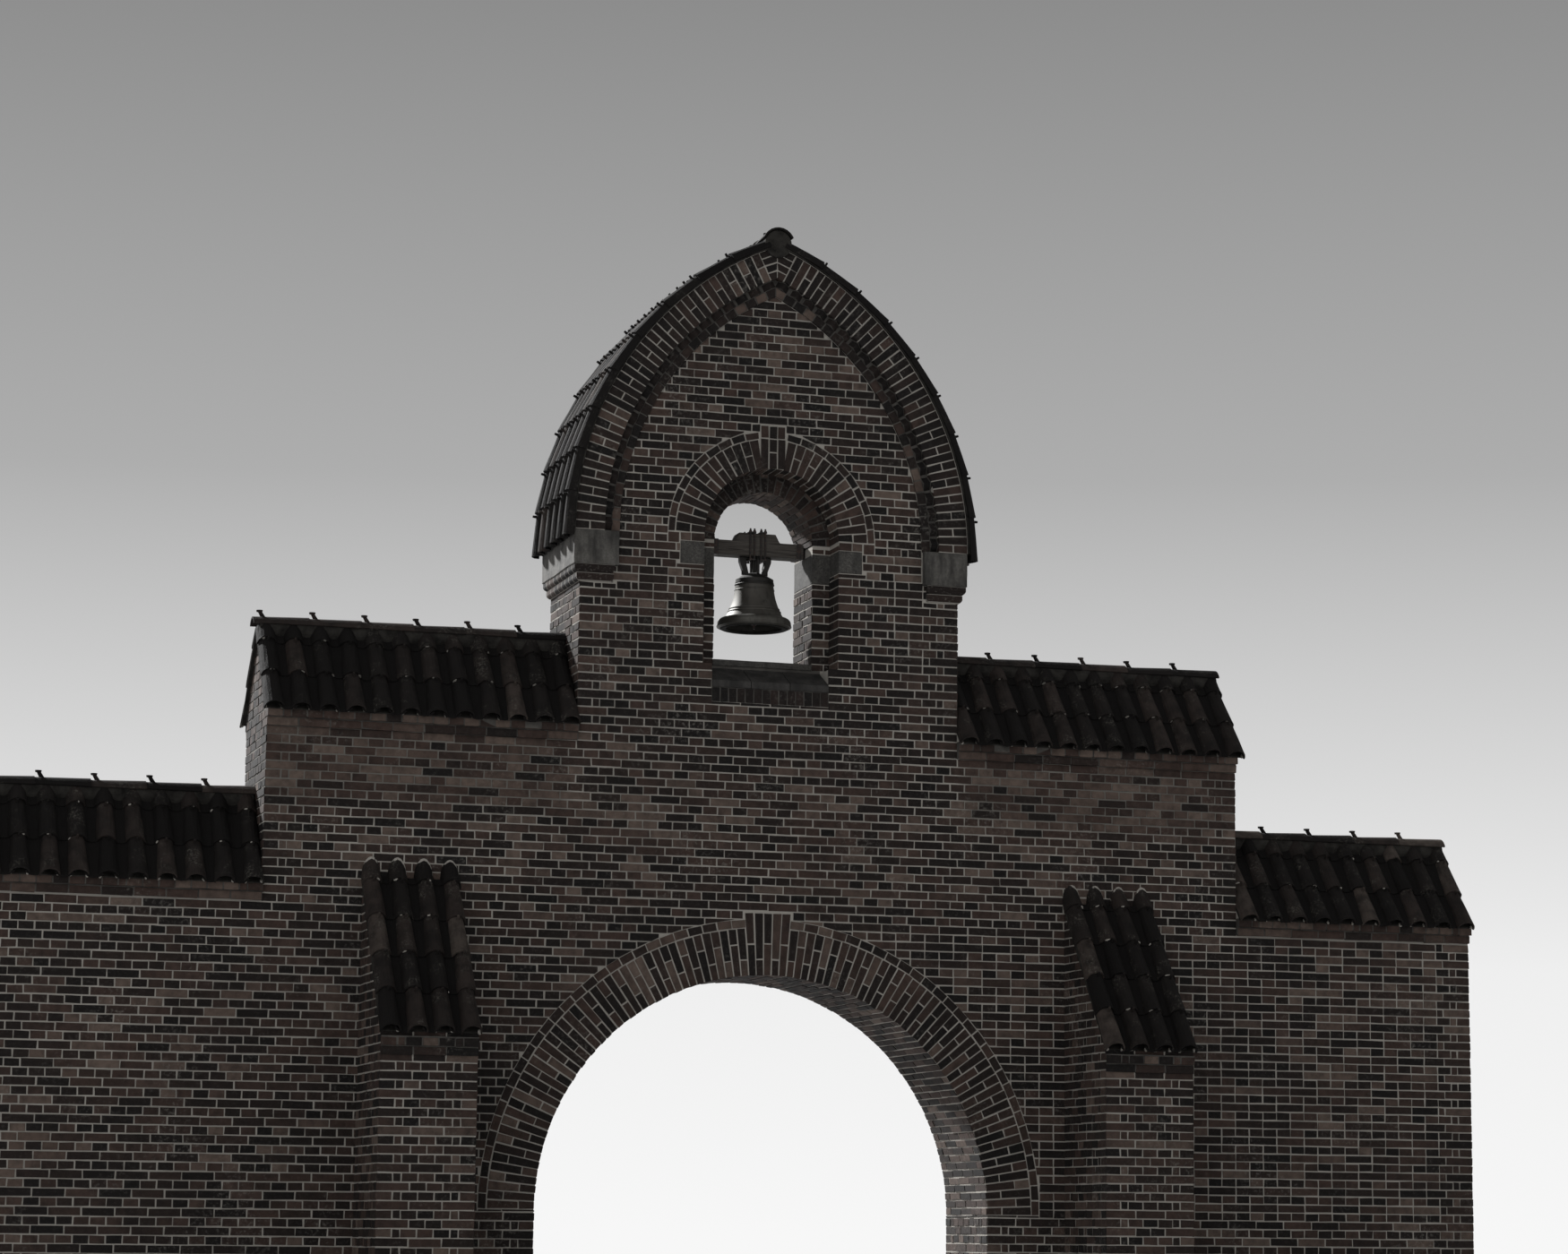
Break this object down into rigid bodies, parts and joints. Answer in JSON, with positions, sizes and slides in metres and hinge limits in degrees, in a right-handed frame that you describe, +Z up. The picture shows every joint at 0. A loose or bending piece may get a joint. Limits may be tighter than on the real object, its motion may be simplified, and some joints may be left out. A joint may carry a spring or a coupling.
{
  "type": "brick bell gable over a gateway",
  "caption": "Pointed brick bell gable with tiled slopes on a gateway wall with tiled shoulders, buttresses and stub side walls, and a bell that swings in its window.",
  "frame": {"origin": "ground level under the middle of the gateway, at mid-thickness of the wall", "axes": "+X along the wall to the right of the viewer, +Y through the wall away from the viewer, +Z up"},
  "size_m": [12.06, 2.8768, 9.5901],
  "materials": {
    "brick": "rough, pale recessed joints",
    "arch_brick": "rough, pale joints",
    "clay_tile": "weathered, lichen",
    "granite": "dressed, weathered",
    "bell_bronze": "dark weathered bronze",
    "iron": "dull, rusted",
    "oak": "weathered, grey"
  },
  "bodies": {
    "tower": {"left_flank_wall": "brick", "right_flank_wall": "brick", "left_gate_pier": "brick", "right_gate_pier": "brick", "gate_arch": "arch_brick", "wall_over_gate": "brick", "wing_eaves_courses": "brick", "flank_eaves_courses": "brick", "left_wing_core": "brick", "right_wing_core": "brick", "flank_cores": "brick", "left_wing_roof": "clay_tile", "right_wing_roof": "clay_tile", "left_flank_roof": "clay_tile", "right_flank_roof": "clay_tile", "wing_ridges": "clay_tile", "flank_ridges": "clay_tile", "gable_apron": "brick", "left_gable_pier": "brick", "right_gable_pier": "brick", "gable_head": "brick", "window_arches": "arch_brick", "inner_window_arch": "arch_brick", "outer_impost_stones": "granite", "inner_impost_stones": "granite", "window_breast": "brick", "inner_sill": "granite", "sloping_sills": "granite", "kneeler_stones": "granite", "kneeler_mouldings": "arch_brick", "left_verge_ring": "arch_brick", "right_verge_ring": "arch_brick", "dog_tooth_bands": "arch_brick", "left_gable_roof": "clay_tile", "right_gable_roof": "clay_tile", "gable_ridge": "clay_tile", "buttresses": "brick", "buttress_mouldings": "brick", "buttress_roofs": "clay_tile", "bearings": "iron"},
    "swinging_bell": {"bell": "bell_bronze", "clapper": "iron", "headstock": "oak", "headstock_straps": "iron", "gudgeons": "iron"}
  },
  "joints": [
    {"name": "bell_swing", "type": "hinge", "parent": "tower", "child": "swinging_bell", "pos_m": [0, 0, 7.055], "axis": [1, 0, 0], "range_deg": [-60, 60]}
  ]
}
